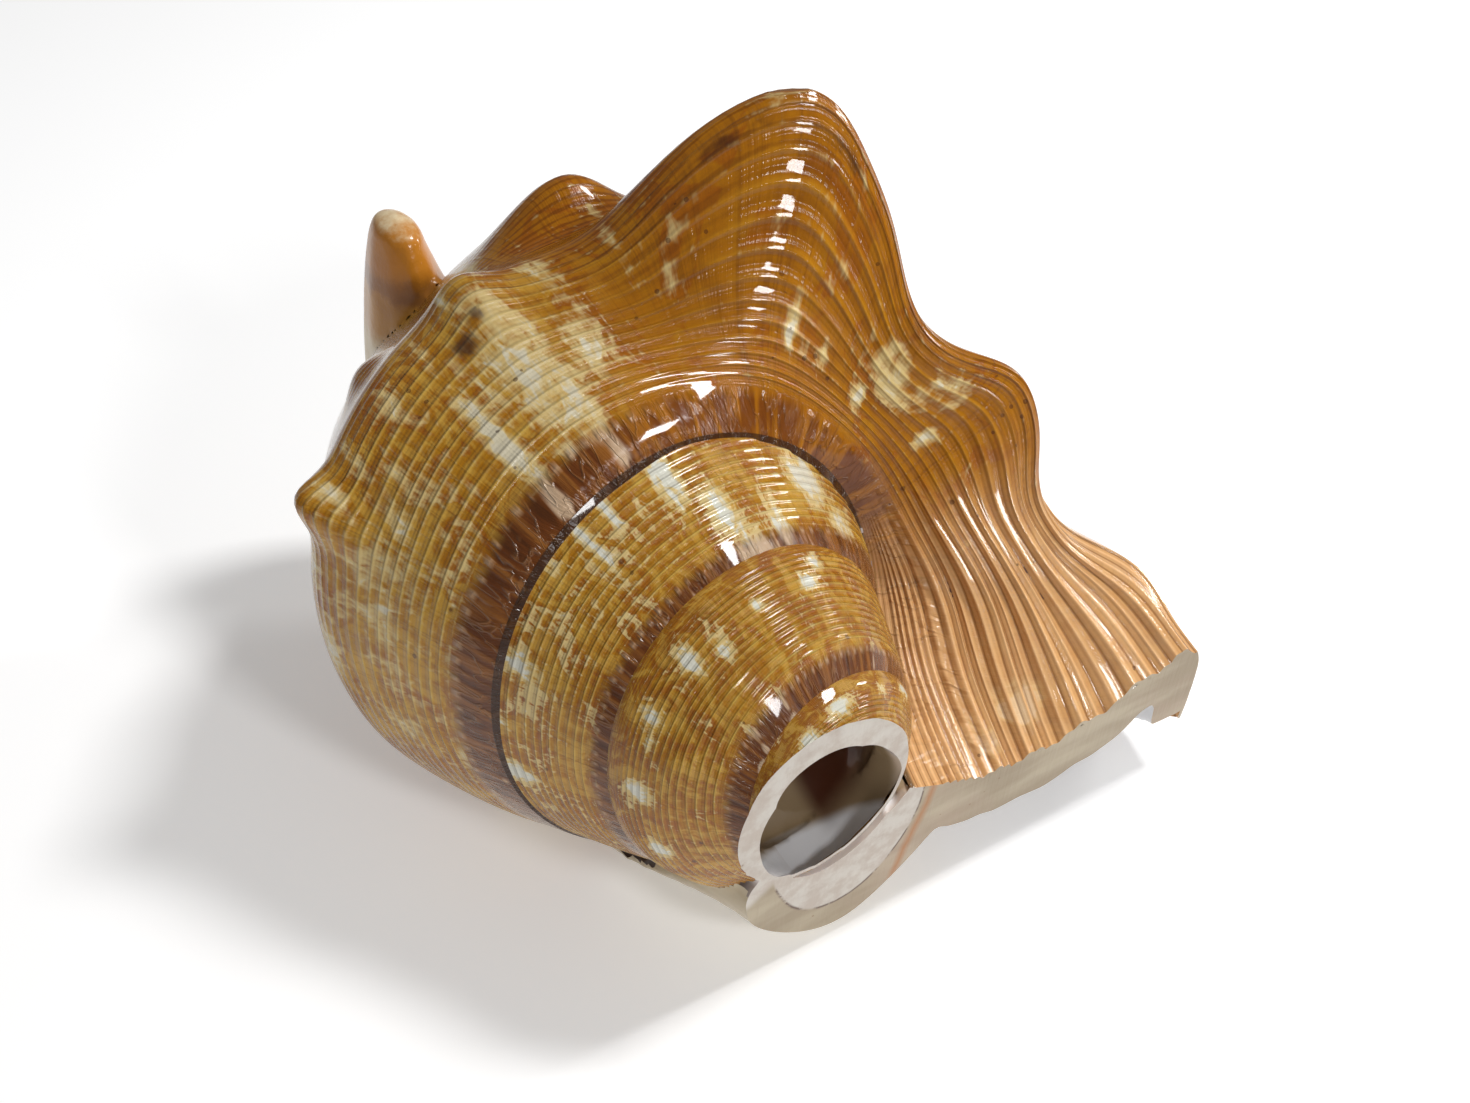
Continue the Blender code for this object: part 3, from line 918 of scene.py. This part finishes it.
# %% Groups for the pattern
band_group, (turn, place, edge, waviness) = new_group(
    "Seam Band", Turn=0.0, Place=0.0, Edge=1.22, Waviness=0.1
)
slow = noise(combine(turn * 0.09, 0.0), 1.0)
from_edge = place - (edge + slow.swing(2.0) * waviness)
wrinkle = noise(combine(turn * 0.36, place * 0.3), 1.0, 2.0, 0.5, 0.3)
arcs = noise(combine(turn * 0.30, place * 0.8), 1.0, 2.0, 0.5, 0.5)
bead_row = reckon("SINE", turn * 1.55) + wrinkle.swing(3.5)
group_results(
    band_group,
    Band=from_edge.between(-0.14, 0.16, 1.0, 0.0),
    Wrinkle=wrinkle,
    # Thin winding lines where the arcs pass their middle value.
    Lines=line_at(arcs.swing(22.0)),
    Beads=bead_row.between(0.1, 0.9) * line_at((from_edge + 0.03) * 11.0),
)

thread_group, (turn, place, spacing, fine_share) = new_group(
    "Spiral Threads", Turn=0.0, Place=0.0, Spacing=0.125, Fine_Share=0.35
)
wander = noise(combine(turn * 0.05, place * 3.0), 1.0, 2.0)
bent = place + reckon("SINE", place * 9.0) * 0.007 + wander.swing(0.03)
phase = bent / spacing * (2 * math.pi)
crest = reckon("POWER", reckon("COSINE", phase).scaled(0.5, 0.5), 3.0)
fine = reckon("COSINE", phase * 3.0).scaled(0.5, 0.5)
group_results(
    thread_group,
    Crest=crest + fine * 0.22,
    Height=crest + fine * fine_share,
    Strength=noise(combine(turn * 0.16, place * 9.0), 1.0).between(0.32, 0.68),
)

flame_group, (turn, place, pale, dark, crest, amount) = new_group(
    "Axial Flames", Turn=0.0, Place=0.0, Pale=0.0, Dark=0.0, Crest=0.0, Amount=0.5
)
lean = turn + place * 2.0


def streaks(along_turn, along_place, detail, distortion):
    return noise(combine(lean * along_turn, place * along_place), 1.0, detail, 0.62, distortion)


broad = streaks(0.075, 0.8, 3.0, 0.6)
patch = streaks(0.13, 1.7, 3.0, 1.1)
teeth = streaks(0.42, 4.2, 2.0, 0.9)
growth = streaks(1.5, 0.32, 4.0, 0.0)
level = pale * 1.1 + broad * amount + teeth.swing(1.15) + patch.swing(1.5) + growth.swing(0.5)
level = level + crest * 0.16
group_results(
    flame_group,
    Flame=level.between(0.6, 0.84),
    Shade=(dark + teeth.swing(1.0)).between(0.3, 0.9),
    Growth=growth,
    Patch=patch,
    Broad=broad,
    Soft=level.between(0.5, 1.0),
    Heart=(pale + (teeth.swing(1.2) + patch.swing(0.8))).between(0.55, 0.8),
)

# %% [markdown]
# ### Clouds, pits and grinding marks
# Clouds shift the brown between orange and olive. Pits are the small bore holes and chips of a shell
# that lay in the sea. The ground face shows fine straight scratches and the faint layers of the wall.

# %% Groups for wear
cloud_group, (cloud_scale, pit_scale, pit_size) = new_group(
    "Clouds And Pits", Cloud_Scale=60.0, Pit_Scale=420.0, Pit_Size=0.12
)
where = object_place(cloud_group)
cell = cloud_group.nodes.new("ShaderNodeTexVoronoi")
wire(where, cell.inputs["Vector"])
wire(pit_scale, cell.inputs["Scale"])
near_cell = reckon("LESS_THAN", Value(cell.outputs["Distance"]), pit_size)
group_results(
    cloud_group,
    Cloud=noise(where, cloud_scale, 4.0, 0.5),
    Mottle=noise(where, 310.0, 4.0, 0.65),
    Pit=near_cell * reckon("GREATER_THAN", noise(where, 95.0, 1.0), 0.62),
)

grind_group, (scratch_scale, layer_scale) = new_group(
    "Grinding Marks", Scratch_Scale=900.0, Layer_Scale=300.0
)
x, y, z = axes(grind_group)
group_results(
    grind_group,
    Scratch=noise(combine(x * 0.9, (z + x * 0.25) * 0.08), scratch_scale, 4.0, 0.5),
    Layers=noise(combine(x * 0.25, z), layer_scale, 3.0, 0.5),
)


# %% [markdown]
# ### The painted outside
# The brown ground colour goes first, then the threads and rings of growth, then the flames, the band
# and the lip, and last the pits. Gloss stays high, and a thin clear coat stands for the polish.

# %% Material helpers
def new_material(name, roughness, coat):
    material = bpy.data.materials.new(name)
    material.use_nodes = True
    inputs = material.node_tree.nodes["Principled BSDF"].inputs
    inputs["Roughness"].default_value = roughness
    inputs["Coat Weight"].default_value = coat
    inputs["Coat Roughness"].default_value = 0.04
    inputs["IOR"].default_value = 1.5
    inputs["Specular IOR Level"].default_value = 0.22
    return material, material.node_tree


def dress(tree, **values):
    """Wires colours, roughness or normal into a material's own shader."""
    for label, value in values.items():
        wire(value, tree.nodes["Principled BSDF"].inputs[label.replace("_", " ")])


def attribute(tree, name):
    node = tree.nodes.new("ShaderNodeAttribute")
    node.attribute_name = name
    return Value(node.outputs["Fac"])


def bump(height, strength, distance, normal=None):
    node = height.tree.nodes.new("ShaderNodeBump")
    node.inputs["Strength"].default_value = strength
    node.inputs["Distance"].default_value = distance
    wire(height, node.inputs["Height"])
    if normal is not None:
        wire(normal, node.inputs["Normal"])
    return Value(node.outputs["Normal"])


OCHRE = tone(164, 110, 6)
ORANGE = tone(158, 98, 0)
DEEP_ORANGE = tone(112, 60, 0)
TAN = tone(194, 152, 62)
CREAM = tone(212, 190, 132)
WHITE = tone(210, 212, 204)
CHOCOLATE = tone(70, 30, 10)
PLUM = tone(98, 50, 10)
BURNT = tone(146, 78, 0)
RUST = tone(112, 58, 0)
THREAD_TAN = tone(204, 172, 84)
THREAD_GOLD = tone(190, 134, 26)
PINK_TAN = tone(226, 180, 128)

# %% Ground colour, threads and rings
outside, tree = new_material("painted_outside", 0.25, 0.45)
turn, place, pale, dark = [attribute(tree, name) for name in ("turn", "place", "pale", "dark")]
clouds = effect(tree, cloud_group, Cloud_Scale=48.0, Pit_Scale=330.0, Pit_Size=0.13)
bands = effect(tree, band_group, Turn=turn, Place=place, Edge=1.18, Waviness=0.12)
threads = effect(tree, thread_group, Turn=turn, Place=place, Spacing=0.125, Fine_Share=0.3)
flames = effect(
    tree, flame_group, Turn=turn, Place=place, Pale=pale, Dark=dark, Crest=threads["Crest"], Amount=0.5
)

# To the right of the top the brown is a full orange; to the left and on the spire it is ochre and tan.
cloudy_turn = turn + clouds["Cloud"] * 24.0
right = cloudy_turn.between(-96.0, -66.0)
left = 1.0 - right
colour = mix((flames["Broad"] + right * 0.16).between(0.42, 0.6), OCHRE, ORANGE)
colour = mix(flames["Patch"].between(0.53, 0.58) * 0.75, colour, BURNT)
colour = mix(flames["Patch"].between(0.5, 0.4) * (left * 0.7), colour, TAN)
deepness = flames["Growth"].between(0.5, 0.72) + flames["Broad"].between(0.52, 0.66) * 0.6
colour = mix(deepness * 0.55, colour, DEEP_ORANGE)

# Threads are pale and uneven, weaker on the right.
thread_zone = place.between(1.2, 1.4) * place.between(2.7, 3.1, 1.0, 0.2)
thread_show = threads["Crest"] * thread_zone * threads["Strength"].scaled(0.5, 0.12)
thread_show = thread_show * right.scaled(-0.3, 1.0)
colour = mix(thread_show, colour, mix(right, THREAD_TAN, THREAD_GOLD))

# Rings of deeper brown round the knobs and up the wing, where growth slowed.
RING_STEP = 0.105
ring_wave = reckon("SINE", (place + clouds["Cloud"].swing(0.06)) * (2 * math.pi / RING_STEP))
ring_zone = place.between(2.4, 2.8) + right * place.between(1.5, 2.4, 0.0, 0.6)
rings = (ring_wave + flames["Patch"].swing(4.0)).between(0.1, 0.9) * ring_zone
colour = mix(rings * 0.42, colour, DEEP_ORANGE)

# %% Flames, band and lip
# Flames of cream with white hearts, and chocolate patches.
on_spire = turn.between(-430.0, -390.0, 1.0, 0.0)
flame = flames["Flame"] * on_spire + flames["Soft"] * (1.0 - on_spire)
colour = mix(flame * 0.85, colour, CREAM)
colour = mix(flame * flames["Heart"] * on_spire.scaled(0.3, 0.55), colour, WHITE)
colour = mix(flames["Shade"] * 0.85, colour, CHOCOLATE)

# The band below the seam: dark, wrinkled across, with thin pale lines.
wrinkle = bands["Wrinkle"]
band_dark = mix(right, PLUM, RUST)
band_light = mix(right, tone(136, 84, 32), ORANGE)
band_colour = mix(wrinkle.between(0.46, 0.66), band_dark, band_light)
band_colour = mix(wrinkle.between(0.46, 0.3) * right.scaled(-0.5, 0.5), band_colour, tone(50, 24, 2))
band_colour = mix(bands["Lines"] * right.scaled(-0.1, 0.2), band_colour, tone(190, 142, 92))
band_pale = (pale + wrinkle * 0.7).between(0.68, 1.0)
band_colour = mix(band_pale * 0.85, band_colour, tone(196, 170, 142))
on_lip = (turn + clouds["Cloud"] * 14.0).between(-16.0, 6.0)
colour = mix(bands["Band"] * on_lip.scaled(-0.6, 1.0), colour, band_colour)
bead_colour = mix(right, tone(196, 166, 136), ORANGE)
colour = mix(bands["Beads"] * on_lip.scaled(-0.5, 0.5), colour, bead_colour)

# On the lip the ribs are pink-tan and the grooves rusty, crossed by bands of growth.
lip_band = noise(combine(turn * 0.33, place * 0.25), 1.0)
colour = mix(on_lip * lip_band.between(0.52, 0.62, 0.0, 0.6), colour, RUST)
colour = mix(on_lip * threads["Crest"].scaled(0.4, 0.55), colour, PINK_TAN)
colour = mix(on_lip * threads["Crest"].between(0.01, 0.16, 0.5, 0.0), colour, RUST)

# On the belly a thin pale callus lies over the pattern.
glazed = cloudy_turn.between(-258.0, -238.0, 1.0, 0.0) * cloudy_turn.between(-330.0, -300.0)
colour = mix(glazed * 0.7, colour, tone(214, 190, 152))

# %% Seams with painted shade, pits, gloss and relief
# Painted shade: the seam crease and the strip tucked under the whorl before are painted near black.
colour = mix(place.between(0.0, 0.045, 1.0, 0.0) * 0.8, colour, tone(40, 22, 8))
colour = mix(clouds["Pit"] * 0.6, colour, CHOCOLATE)
colour = mix(clouds["Mottle"].between(0.3, 0.8, 0.0, 0.3), colour, tone(104, 84, 20), "SOFT_LIGHT")
rough = (clouds["Mottle"] + flames["Flame"] * 0.2).between(0.35, 0.95, 0.08, 0.24)
relief = threads["Height"] * thread_zone + bands["Beads"] * 1.4
relief = relief + bands["Band"] * (wrinkle * 1.8 + bands["Lines"]) + flames["Growth"] * 0.8
relief = relief - clouds["Pit"] * 1.5
normal = bump(clouds["Mottle"], 0.12, 0.0002, bump(relief, 0.6, 0.0004))
dress(tree, Base_Color=colour, Roughness=rough, Normal=normal)

# %% [markdown]
# ### Glazed inside, with painted light and shade in the hole
# The inside is a porcelain white that warms to peach. In the ground hole painted shade turns it
# grey-brown above a slanting line, painted light makes it bluish white below it, and painted shade
# darkens the passage that leads on and a cleft at its lower left.

# %% Materials of the inside, with painted light and shade in the hole
# Height of the line between the painted shade above and the painted light below, in millimetres.
SHADE_LINE = 26.0


# The glaze, and in the ground hole painted shade and painted light.
def porcelain_with_painted_shade(tree, clouds):
    x, y, z = axes(tree)
    x_mm = x * 1000.0
    z_mm = z * 1000.0
    deep_mm = y * 1000.0 + clouds["Cloud"].swing(4.0)
    # The line slants, so height is measured square to it.
    high_mm = z * 1100.0 + y * 1040.0 + x * -40.0 + 60.0 + clouds["Cloud"].swing(4.0)
    glaze = mix(clouds["Cloud"].between(0.35, 0.65), tone(206, 196, 194), tone(220, 196, 170))
    glaze = mix(clouds["Mottle"].between(0.5, 0.75) * 0.3, glaze, tone(176, 160, 162))
    # Painted shade: grey-brown on the hole wall above the line; painted light: bluish white below it.
    painted_shade_and_light = mix(high_mm.between(SHADE_LINE, SHADE_LINE + 2.5), tone(240, 241, 244), tone(150, 128, 98))
    # Painted shade: dark where the passage leads on into the next whorl.
    beyond = x_mm.between(-11.0, -8.0) * deep_mm.between(-56.0, -50.0)
    painted_shade_and_light = mix(beyond, painted_shade_and_light, tone(74, 40, 26))
    # Painted shade: a dark line in the cleft at the lower left of the hole.
    cleft_shade = (x_mm + z_mm * 0.3).between(-18.0, -19.5) * z_mm.between(26.0, 24.0)
    painted_shade_and_light = mix(cleft_shade, painted_shade_and_light, tone(64, 42, 26))
    in_hole = deep_mm.between(-60.8, -57.5) * deep_mm.between(-34.0, -20.0, 1.0, 0.0)
    return mix(in_hole, glaze, painted_shade_and_light)


inside_glaze_and_shade, tree = new_material("glazed_inside", 0.24, 0.3)
clouds = effect(tree, cloud_group, Cloud_Scale=38.0, Pit_Scale=300.0, Pit_Size=0.08)
inside_rough = clouds["Mottle"].between(0.35, 0.7, 0.3, 0.5)
inside_bump = bump(clouds["Mottle"], 0.2, 0.0003)
dress(tree, Base_Color=porcelain_with_painted_shade(tree, clouds), Roughness=inside_rough, Normal=inside_bump)

hole_glaze_and_shade, tree = new_material("hole_wall", 0.3, 0.3)
clouds = effect(tree, cloud_group, Cloud_Scale=70.0, Pit_Scale=400.0, Pit_Size=0.1)
grind = effect(tree, grind_group, Scratch_Scale=500.0, Layer_Scale=200.0)
# The hole wall takes the same painted shade and painted light, under its layers.
wet = mix(grind["Layers"].between(0.5, 0.66) * 0.25, porcelain_with_painted_shade(tree, clouds), tone(150, 120, 100))
dress(tree, Base_Color=wet, Normal=bump(clouds["Mottle"] + grind["Layers"], 0.4, 0.0004))

# %% [markdown]
# ### Ground face, pad and canal
# The ground face is dull and beige, with scratches. Round the hole the wall shows whitish mauve, and a
# thin crack parts it from the pad, which is cream. The canal is banded by height, up to a pale tip.

# %% Material of the ground face
# An orange-brown streak runs down the right of the pad: its x and its slope, in millimetres.
STREAK_X = -1.0
STREAK_SLOPE = 0.25

ground_finish, tree = new_material("ground_face", 0.45, 0.1)
clouds = effect(tree, cloud_group, Cloud_Scale=55.0, Pit_Scale=500.0, Pit_Size=0.1)
grind = effect(tree, grind_group, Scratch_Scale=1500.0, Layer_Scale=160.0)
x, y, z = axes(tree)
x_mm = x * 1000.0
z_mm = z * 1000.0
dull = mix(grind["Layers"].between(0.38, 0.66), tone(152, 136, 112), tone(176, 162, 138))
dull = mix(clouds["Cloud"].between(0.48, 0.68) * 0.4, dull, tone(176, 152, 134))
dull = mix(grind["Scratch"].between(0.52, 0.7) * 0.25, dull, tone(160, 144, 124))
ring_x = reckon("POWER", (x_mm + 10.0) * (1 / 13.0), 2.0)
ring_z = reckon("POWER", (z_mm - 26.0) * (1 / 18.0), 2.0)
from_ring = reckon("SQRT", ring_x + ring_z) + clouds["Cloud"].swing(0.1)
lower_right = (x_mm + 26.0) * 0.555 + (z_mm - 18.0) * -0.832
on_pad = from_ring.between(0.98, 1.02) * lower_right.between(-1.0, 1.0)
mauve = mix(clouds["Mottle"].between(0.35, 0.65), tone(186, 174, 164), tone(204, 198, 190))
dull = mix(on_pad.scaled(-0.85, 0.85), dull, mauve)
crack_zone = lower_right.between(0.0, 2.0) * clouds["Mottle"].between(0.42, 0.56)
dull = mix(line_at((from_ring - 1.0) * 45.0) * crack_zone, dull, tone(80, 50, 34))
off_streak = x_mm - z_mm.scaled(STREAK_SLOPE, STREAK_X) + clouds["Cloud"].swing(4.0)
streak = line_at(off_streak * 0.75) * (z_mm.between(28.0, 24.0) * z_mm.between(4.0, 9.0))
dull = mix(streak * 0.75, dull, tone(166, 104, 44))
dull = mix(clouds["Pit"] * 0.5, dull, tone(120, 86, 50))
scored = grind["Scratch"] + clouds["Mottle"] * 0.6
dress(tree, Base_Color=dull, Normal=bump(scored, 0.4, 0.0002))

# %% Materials of the pad and the canal
pad_finish, tree = new_material("callus_cream", 0.3, 0.25)
clouds = effect(tree, cloud_group, Cloud_Scale=45.0, Pit_Scale=380.0, Pit_Size=0.12)
grind = effect(tree, grind_group, Scratch_Scale=700.0, Layer_Scale=120.0)
cream = mix(grind["Layers"].between(0.38, 0.62), tone(178, 160, 126), tone(202, 188, 162))
cream = mix(clouds["Cloud"].between(0.55, 0.66) * 0.65, cream, tone(158, 106, 52))
cream = mix(clouds["Pit"] * 0.6, cream, tone(96, 64, 40))
dress(tree, Base_Color=cream, Normal=bump(grind["Layers"], 0.35, 0.0006))

# Where each colour of the canal begins and is full, in millimetres of height.
CANAL_BANDS = [
    (50.0, 55.0, tone(184, 126, 34)),
    (60.0, 62.0, tone(146, 92, 28)),
    (63.0, 66.0, tone(184, 118, 34)),
    (71.0, 74.0, tone(224, 206, 168)),
]
canal_finish, tree = new_material("canal_bands", 0.28, 0.3)
clouds = effect(tree, cloud_group, Cloud_Scale=60.0, Pit_Scale=330.0, Pit_Size=0.1)
x, y, z = axes(tree)
up_mm = z * 1000.0 + clouds["Mottle"].swing(5.0)
tip = tone(198, 172, 122)
for begins, full, colour in CANAL_BANDS:
    tip = mix(up_mm.between(begins, full), tip, colour)
tip = mix(clouds["Cloud"].between(0.5, 0.65) * 0.35, tip, tone(150, 92, 34))
dress(tree, Base_Color=tip, Normal=bump(clouds["Mottle"], 0.4, 0.0004))
print("materials", [m.name for m in bpy.data.materials])

# %% [markdown]
# ## Putting the pieces in place
# All pieces belong to the one body and stand for the one solid of the frame. The skin lies over the
# body of the shell, and a narrow rim closes the hair between them along the ground end.

# %% Assemble
RIM_WIDTH = 0.0007
RIM_LIFT = 1e-5


def ground_rim(name, sources):
    """A narrow rim on the ground plane along the edge of the skin."""
    points, faces = [], []
    for mesh in sources:
        work = bmesh.new()
        work.from_mesh(mesh)
        work.normal_update()
        for edge in work.edges:
            if len(edge.link_faces) != 1:
                continue
            ends = [v for v in edge.verts if abs((v.co - CUT_POINT).dot(CUT_NORMAL)) < 3e-6]
            if len(ends) < 2:
                continue
            base = len(points)
            for v in ends:
                inward = -(v.normal - CUT_NORMAL * v.normal.dot(CUT_NORMAL)).normalized()
                points.append(tuple(v.co))
                points.append(tuple(v.co + inward * RIM_WIDTH - CUT_NORMAL * RIM_LIFT))
            faces.append((base, base + 1, base + 3, base + 2))
        work.free()
    mesh = bpy.data.meshes.new(name)
    mesh.from_pydata(points, [], faces)
    return mesh


rim_mesh = ground_rim("ground_rim", [spire_mesh, body_mesh, lip_mesh])
FLAT_PIECES = ("ground_face", "ground_rim")
pieces = []
for name, mesh, material in (
    ("spire", spire_mesh, outside),
    ("body_whorl", body_mesh, outside),
    ("flared_lip", lip_mesh, outside),
    ("ground_face", ground_mesh, ground_finish),
    ("ground_rim", rim_mesh, ground_finish),
    ("hole_wall", hole_mesh, hole_glaze_and_shade),
    ("glazed_inside", inner_mesh, inside_glaze_and_shade),
    ("callus_pad", pad_mesh, pad_finish),
    ("canal", canal_mesh, canal_finish),
):
    pieces.append(new_piece(name, mesh, material, name not in FLAT_PIECES))
for piece in pieces:
    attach(piece, "root")
    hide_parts("shell")
print("pieces", [(piece.name, len(piece.data.polygons)) for piece in pieces])

# %% [markdown]
# ## Light and camera
# The photograph was taken on white under a few small lamps, so the gloss breaks into short dashes. The
# camera stands in front of the apex, to its left and above.

# %% Stage, light and camera
scene = bpy.context.scene
bpy.ops.mesh.primitive_plane_add(size=6.0, location=(0, 0, 0))
floor = bpy.context.object
floor.name = "floor"
paper = bpy.data.materials.new("pale_paper")
paper.use_nodes = True
dress(
    paper.node_tree,
    Base_Color=(0.9, 0.9, 0.9, 1),
    Roughness=0.9,
    Emission_Color=(1, 1, 1, 1),
    Emission_Strength=0.28,
)
floor.data.materials.append(paper)

world = bpy.data.worlds.new("studio")
world.use_nodes = True
world.node_tree.nodes["Background"].inputs["Color"].default_value = (1.0, 1.0, 1.0, 1)
world.node_tree.nodes["Background"].inputs["Strength"].default_value = 0.2
scene.world = world


def soft_light(name, place, aim, size, power):
    lamp = bpy.data.lights.new(name, "AREA")
    lamp.shape = "RECTANGLE"
    lamp.size = size[0]
    lamp.size_y = size[1]
    lamp.energy = power
    holder = bpy.data.objects.new(name, lamp)
    scene.collection.objects.link(holder)
    holder.location = place
    holder.rotation_euler = (Vector(aim) - Vector(place)).to_track_quat("-Z", "Y").to_euler()


soft_light("window", (0.38, -0.12, 0.72), (0, 0, 0.05), (0.14, 0.18), 4.2)
soft_light("front_panel", (0.02, -0.9, 0.6), (0, 0, 0.05), (0.16, 0.16), 3.6)
soft_light("side_panel", (0.9, -0.12, 0.4), (0.02, -0.02, 0.04), (0.1, 0.2), 2.4)

# Where the camera stands, in the shell's own millimetres, and which way it looks, in degrees.
CAMERA_PLACE = (-119.7, -158.6, 195.4)
CAMERA_AZIMUTH = -34.0
CAMERA_ELEVATION = 38.0
camera_data = bpy.data.cameras.new("camera")
camera_data.lens = 50.0
camera_data.sensor_width = 36.0
camera_data.clip_start = 0.01
camera_data.dof.use_dof = False
camera = bpy.data.objects.new("camera", camera_data)
scene.collection.objects.link(camera)
camera.location = Vector(metres(CAMERA_PLACE))
azimuth = math.radians(CAMERA_AZIMUTH)
elevation = math.radians(CAMERA_ELEVATION)
flat_way = math.cos(elevation)
look = -Vector((math.sin(azimuth) * flat_way, -math.cos(azimuth) * flat_way, math.sin(elevation)))
camera.rotation_euler = look.to_track_quat("-Z", "Y").to_euler()
scene.camera = camera
scene.view_settings.view_transform = "Standard"
